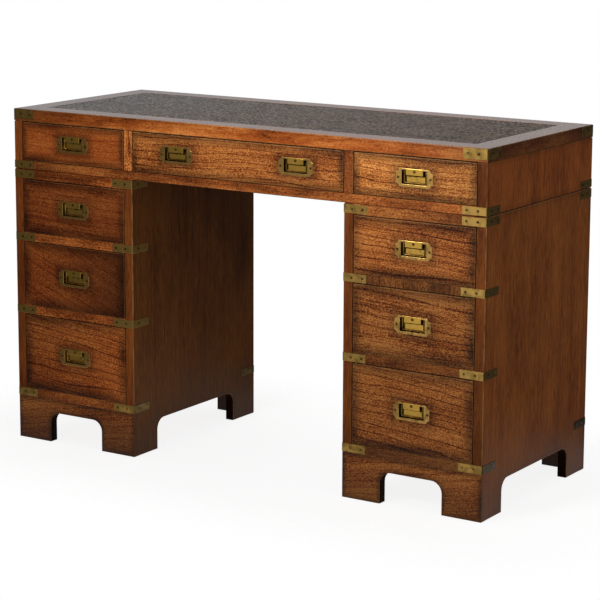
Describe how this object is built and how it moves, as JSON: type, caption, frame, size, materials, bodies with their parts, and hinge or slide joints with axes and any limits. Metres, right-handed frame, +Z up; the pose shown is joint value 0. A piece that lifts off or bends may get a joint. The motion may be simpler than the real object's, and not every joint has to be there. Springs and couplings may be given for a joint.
{
  "type": "pedestal writing desk",
  "caption": "Campaign style pedestal desk with a leather writing top, graduated drawers on brass flush pulls, brass straps and bracket feet.",
  "frame": {"origin": "on the floor, under the middle of the desk", "axes": "+X along the width, to the right of someone who faces the drawers, -Y out of the drawers, +Z up"},
  "size_m": [1.22, 0.48, 0.77],
  "materials": {
    "mahogany_front": "stained mahogany, satin lacquer",
    "mahogany_panel": "darker stained mahogany, satin lacquer",
    "drawer_lining": "plain sanded wood",
    "writing_leather": "dark brown hide, fine grain",
    "aged_brass": "brushed and slightly tarnished brass"
  },
  "bodies": {
    "carcase": {"top_board": "mahogany_front", "leather_inlay": "writing_leather", "top_end_left": "mahogany_panel", "top_end_right": "mahogany_panel", "top_floor": "mahogany_front", "top_back": "mahogany_panel", "top_divider_left": "mahogany_front", "top_divider_right": "mahogany_front", "left_plinth": "mahogany_panel", "left_outer_side": "mahogany_panel", "left_inner_side": "mahogany_panel", "left_back": "mahogany_panel", "left_top": "mahogany_front", "left_upper_dustboard": "mahogany_front", "left_lower_dustboard": "mahogany_front", "right_plinth": "mahogany_panel", "right_outer_side": "mahogany_panel", "right_inner_side": "mahogany_panel", "right_back": "mahogany_panel", "right_top": "mahogany_front", "right_upper_dustboard": "mahogany_front", "right_lower_dustboard": "mahogany_front"},
    "drawer_top_middle": {"drawer_front_top_middle": "mahogany_front", "drawer_box_top_middle": "drawer_lining", "handle_plate_top_middle_left": "aged_brass", "handle_plate_top_middle_right": "aged_brass"},
    "bail_top_middle_left": {"handle_bail_top_middle_left": "aged_brass"},
    "bail_top_middle_right": {"handle_bail_top_middle_right": "aged_brass"},
    "drawer_top_left": {"drawer_front_top_left": "mahogany_front", "drawer_box_top_left": "drawer_lining", "handle_plate_top_left": "aged_brass"},
    "bail_top_left": {"handle_bail_top_left": "aged_brass"},
    "drawer_upper_left": {"drawer_front_upper_left": "mahogany_front", "drawer_box_upper_left": "drawer_lining", "handle_plate_upper_left": "aged_brass"},
    "bail_upper_left": {"handle_bail_upper_left": "aged_brass"},
    "drawer_middle_left": {"drawer_front_middle_left": "mahogany_front", "drawer_box_middle_left": "drawer_lining", "handle_plate_middle_left": "aged_brass"},
    "bail_middle_left": {"handle_bail_middle_left": "aged_brass"},
    "drawer_lower_left": {"drawer_front_lower_left": "mahogany_front", "drawer_box_lower_left": "drawer_lining", "handle_plate_lower_left": "aged_brass"},
    "bail_lower_left": {"handle_bail_lower_left": "aged_brass"},
    "drawer_top_right": {"drawer_front_top_right": "mahogany_front", "drawer_box_top_right": "drawer_lining", "handle_plate_top_right": "aged_brass"},
    "bail_top_right": {"handle_bail_top_right": "aged_brass"},
    "drawer_upper_right": {"drawer_front_upper_right": "mahogany_front", "drawer_box_upper_right": "drawer_lining", "handle_plate_upper_right": "aged_brass"},
    "bail_upper_right": {"handle_bail_upper_right": "aged_brass"},
    "drawer_middle_right": {"drawer_front_middle_right": "mahogany_front", "drawer_box_middle_right": "drawer_lining", "handle_plate_middle_right": "aged_brass"},
    "bail_middle_right": {"handle_bail_middle_right": "aged_brass"},
    "drawer_lower_right": {"drawer_front_lower_right": "mahogany_front", "drawer_box_lower_right": "drawer_lining", "handle_plate_lower_right": "aged_brass"},
    "bail_lower_right": {"handle_bail_lower_right": "aged_brass"}
  },
  "joints": [
    {"name": "slide_top_middle", "type": "slide", "parent": "carcase", "child": "drawer_top_middle", "axis": [0, -1, 0], "range_m": [0, 0.3]},
    {"name": "swing_top_middle_left", "type": "hinge", "parent": "drawer_top_middle", "child": "bail_top_middle_left", "pos_m": [-0.155, -0.2345, 0.70924], "axis": [-1, 0, 0], "range_deg": [0, 90]},
    {"name": "swing_top_middle_right", "type": "hinge", "parent": "drawer_top_middle", "child": "bail_top_middle_right", "pos_m": [0.155, -0.2345, 0.70924], "axis": [-1, 0, 0], "range_deg": [0, 90]},
    {"name": "slide_top_left", "type": "slide", "parent": "carcase", "child": "drawer_top_left", "axis": [0, -1, 0], "range_m": [0, 0.3]},
    {"name": "swing_top_left", "type": "hinge", "parent": "drawer_top_left", "child": "bail_top_left", "pos_m": [-0.4425, -0.2345, 0.70924], "axis": [-1, 0, 0], "range_deg": [0, 90]},
    {"name": "slide_upper_left", "type": "slide", "parent": "carcase", "child": "drawer_upper_left", "axis": [0, -1, 0], "range_m": [0, 0.3]},
    {"name": "swing_upper_left", "type": "hinge", "parent": "drawer_upper_left", "child": "bail_upper_left", "pos_m": [-0.4425, -0.2345, 0.56024], "axis": [-1, 0, 0], "range_deg": [0, 90]},
    {"name": "slide_middle_left", "type": "slide", "parent": "carcase", "child": "drawer_middle_left", "axis": [0, -1, 0], "range_m": [0, 0.3]},
    {"name": "swing_middle_left", "type": "hinge", "parent": "drawer_middle_left", "child": "bail_middle_left", "pos_m": [-0.4425, -0.2345, 0.40324], "axis": [-1, 0, 0], "range_deg": [0, 90]},
    {"name": "slide_lower_left", "type": "slide", "parent": "carcase", "child": "drawer_lower_left", "axis": [0, -1, 0], "range_m": [0, 0.3]},
    {"name": "swing_lower_left", "type": "hinge", "parent": "drawer_lower_left", "child": "bail_lower_left", "pos_m": [-0.4425, -0.2345, 0.22024], "axis": [-1, 0, 0], "range_deg": [0, 90]},
    {"name": "slide_top_right", "type": "slide", "parent": "carcase", "child": "drawer_top_right", "axis": [0, -1, 0], "range_m": [0, 0.3]},
    {"name": "swing_top_right", "type": "hinge", "parent": "drawer_top_right", "child": "bail_top_right", "pos_m": [0.4425, -0.2345, 0.70924], "axis": [-1, 0, 0], "range_deg": [0, 90]},
    {"name": "slide_upper_right", "type": "slide", "parent": "carcase", "child": "drawer_upper_right", "axis": [0, -1, 0], "range_m": [0, 0.3]},
    {"name": "swing_upper_right", "type": "hinge", "parent": "drawer_upper_right", "child": "bail_upper_right", "pos_m": [0.4425, -0.2345, 0.56024], "axis": [-1, 0, 0], "range_deg": [0, 90]},
    {"name": "slide_middle_right", "type": "slide", "parent": "carcase", "child": "drawer_middle_right", "axis": [0, -1, 0], "range_m": [0, 0.3]},
    {"name": "swing_middle_right", "type": "hinge", "parent": "drawer_middle_right", "child": "bail_middle_right", "pos_m": [0.4425, -0.2345, 0.40324], "axis": [-1, 0, 0], "range_deg": [0, 90]},
    {"name": "slide_lower_right", "type": "slide", "parent": "carcase", "child": "drawer_lower_right", "axis": [0, -1, 0], "range_m": [0, 0.3]},
    {"name": "swing_lower_right", "type": "hinge", "parent": "drawer_lower_right", "child": "bail_lower_right", "pos_m": [0.4425, -0.2345, 0.22024], "axis": [-1, 0, 0], "range_deg": [0, 90]}
  ]
}
